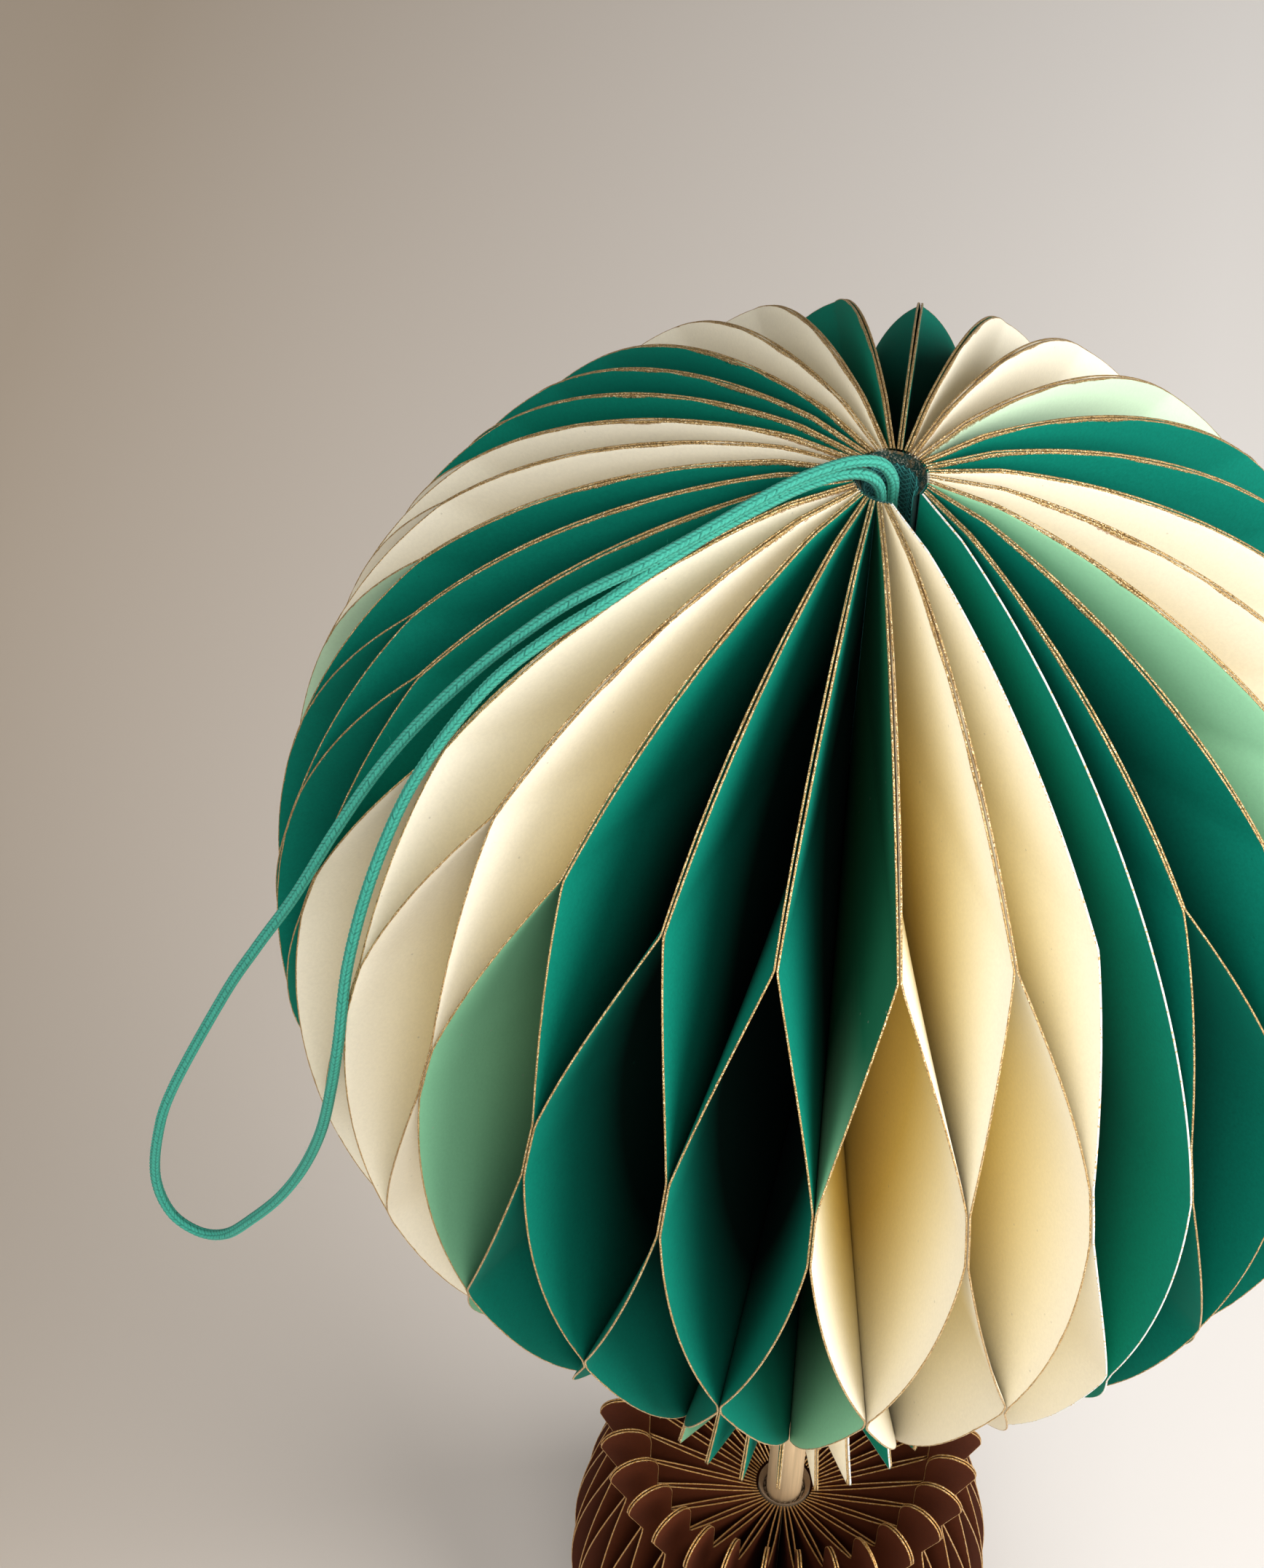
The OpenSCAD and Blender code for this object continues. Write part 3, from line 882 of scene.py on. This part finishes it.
class MakeSpines(bpy.types.Operator):
    """Lines the two spines with open gauze over a glued sleeve"""

    bl_idname = "ornament.spines"
    bl_label = "Gauze spines"

    strands, thread = 22, 0.15
    wall, funnel = 0.45, 1.1

    def execute(self, context):
        s = sizes()
        finish = thread_finish("spine_gauze", colours().gauze, 0.25)
        glue = thread_finish("spine_glue", scaled(colours().gauze, 0.5), 0.3)
        fray = frayed_finish("spine_fray")
        low = (s.ball_z - s.mouth_drop) / MM
        top = s.ball_z / MM + s.ball_d / MM / 2 * math.sin(math.radians(POLE_LAT))
        start = SEAM_AT + (360 - SPINE_ARC) / 2
        self.sleeve("ball_gauze", "ball_spine", low, top, start, SPINE_ARC, [finish, glue, fray])
        finish = thread_finish("basket_gauze", (0.42, 0.3, 0.18), 0.25)
        glue = thread_finish("basket_glue", (0.3, 0.2, 0.11), 0.3)
        top = (s.basket_h - s.hollow) / MM
        self.sleeve("basket_gauze", "basket_spine", 0.0, top, 0.0, 360.0, [finish, glue, glue])
        return {"FINISHED"}

    def sleeve(self, name, node, low, top, start, arc, finishes):
        """Adds a glued sleeve whose upper edge widens like a funnel, and a net inside it."""
        s = sizes()
        inner, outer = s.bore_r / MM, s.root_r / MM - 0.1
        back = inner + self.wall
        sheets = Sheets()
        a = np.radians(start + np.linspace(0, arc, 61))
        for r, flip in ((back, True), (outer, False)):
            ring = np.stack([r * np.cos(a), r * np.sin(a)], 1)
            reach = top - self.funnel if r == back else top
            wall = np.stack([np.column_stack([ring, np.full(61, z)]) for z in (low, reach)])
            sheets.grid(wall, 1, flip=not flip)
        for z, drop in ((low, 0.0), (top, self.funnel)):
            lip = np.stack([np.column_stack([r * np.cos(a), r * np.sin(a), np.full(61, z - d)])
                            for r, d in ((back, drop), (outer, 0.0))])
            sheets.grid(lip, 2 if z == top else 1, flip=z == low)
        self.net(sheets, (inner + back) / 2, low + 0.2, top - 0.9, start, arc)
        piece = sheets.make(name, finishes)
        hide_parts(node)

    def net(self, sheets, r, low, top, start, arc):
        """Two crossing sets of threads, over and under each other."""
        reach = 2 * math.pi * r * arc / 360
        gap = reach / self.strands
        for slope in (1, -1):
            for k in range(-int((top - low) / gap), self.strands + int((top - low) / gap)):
                z = np.arange(low, top, 0.35)
                x = k * gap + slope * (z - low)
                keep = (x >= 0) & (x <= reach)
                if keep.sum() < 3:
                    continue
                z, x = z[keep], x[keep]
                lift = 0.11 * slope * np.cos(math.pi * x / gap)
                a = np.radians(start) + x / r
                middle = np.column_stack([(r + lift) * np.cos(a), (r + lift) * np.sin(a), z])
                run = unit(np.gradient(middle, axis=0))
                out = np.column_stack([np.cos(a), np.sin(a), np.zeros(len(a))])
                side = unit(np.cross(run, out))
                turn = np.radians([0, 120, 240, 360])
                half = self.thread / 2
                tube = [middle + half * (math.cos(q) * side + math.sin(q) * out) for q in turn]
                sheets.grid(np.stack(tube, 1), 0)


class FinishStick(bpy.types.Operator):
    """Gives the stick its wood"""

    bl_idname = "ornament.centre_stick"
    bl_label = "Wooden stick"

    def execute(self, context):
        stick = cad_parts["centre_stick"]
        wood = wood_finish("stick_wood", colours().wood)
        stick.data.materials.clear()
        stick.data.materials.append(wood)
        return {"FINISHED"}


class MakeStage(bpy.types.Operator):
    """Sets the floor, the lamps and the camera"""

    bl_idname = "ornament.stage"
    bl_label = "Stage"

    def execute(self, context):
        stage = context.scene.ornament_stage
        scene = context.scene
        scene.view_settings.view_transform = "Standard"
        mesh = bpy.data.meshes.new("floor")
        mesh.from_pydata([(-3, -3, 0), (3, -3, 0), (3, 3, 0), (-3, 3, 0)], [], [(0, 1, 2, 3)])
        mesh.materials.append(floor_finish("floor_paper", stage.shade, stage.light))
        floor = bpy.data.objects.new("floor", mesh)
        scene.collection.objects.link(floor)
        self.lamp("key_lamp", (0.644, -0.235, 0.6), 0.8, stage.key)
        self.lamp("front_lamp", (0.02, -0.585, 0.73), 0.5, stage.front)
        self.lamp("bounce_lamp", (0.15, -0.76, 0.3), 0.6, stage.bounce)
        self.lamp("left_lamp", (-0.566, 0.0, 0.75), 0.7, stage.fill)
        self.lamp("low_lamp", (-0.49, -0.49, 0.585), 0.7, stage.fill)
        world = bpy.data.worlds.new("soft_light")
        world.use_nodes = True
        world.node_tree.nodes["Background"].inputs["Color"].default_value = (1.0, 0.985, 0.96, 1.0)
        world.node_tree.nodes["Background"].inputs["Strength"].default_value = stage.ambient
        scene.world = world
        camera = bpy.data.objects.new("camera", bpy.data.cameras.new("camera"))
        camera.data.lens, camera.data.sensor_width = CAMERA_LENS, 36.0
        camera.data.clip_start, camera.data.clip_end = 0.01, 20.0
        camera.matrix_world = Matrix.Translation(CAMERA_AT) @ Matrix(CAMERA_AXES).transposed().to_4x4()
        scene.collection.objects.link(camera)
        scene.camera = camera
        return {"FINISHED"}

    def lamp(self, name, place, size, power):
        data = bpy.data.lights.new(name, "AREA")
        data.shape, data.size, data.energy = "DISK", size, power
        lamp = bpy.data.objects.new(name, data)
        lamp.visible_camera = False
        aim = Vector(LAMPS_AIM) - Vector(place)
        lamp.matrix_world = Matrix.Translation(place) @ aim.to_track_quat("-Z", "Y").to_matrix().to_4x4()
        bpy.context.scene.collection.objects.link(lamp)


class OrnamentPanel(bpy.types.Panel):
    """Lists the ornament's pieces"""

    bl_idname = "VIEW3D_PT_paper_ornament"
    bl_label = "Paper ball ornament"
    bl_space_type = "VIEW_3D"
    bl_region_type = "UI"
    bl_category = "Ornament"

    def draw(self, context):
        for piece in PIECES:
            self.layout.operator(piece.bl_idname)
        scene = context.scene
        for group in (scene.ornament_sizes, scene.ornament_colours, scene.ornament_stage):
            box = self.layout.box()
            for key in group.bl_rna.properties.keys():
                if key not in ("rna_type", "name"):
                    box.prop(group, key)


PIECES = (MakeStage, MakeCord, MakeBall, MakeSpines, FinishStick, MakeBasket)
GROUPS = (OrnamentSizes, OrnamentColours, OrnamentStage)


def register():
    for cls in (*GROUPS, *PIECES, OrnamentPanel):
        bpy.utils.register_class(cls)
    bpy.types.Scene.ornament_sizes = bpy.props.PointerProperty(type=OrnamentSizes)
    bpy.types.Scene.ornament_colours = bpy.props.PointerProperty(type=OrnamentColours)
    bpy.types.Scene.ornament_stage = bpy.props.PointerProperty(type=OrnamentStage)


def unregister():
    del bpy.types.Scene.ornament_stage
    del bpy.types.Scene.ornament_colours
    del bpy.types.Scene.ornament_sizes
    for cls in (OrnamentPanel, *reversed(PIECES), *reversed(GROUPS)):
        bpy.utils.unregister_class(cls)


def main():
    register()
    bpy.ops.ornament.stage()
    bpy.ops.ornament.hanging_cord()
    bpy.ops.ornament.ball_leaves()
    bpy.ops.ornament.spines()
    bpy.ops.ornament.centre_stick()
    bpy.ops.ornament.basket_leaves()


if __name__ == "__main__":
    main()
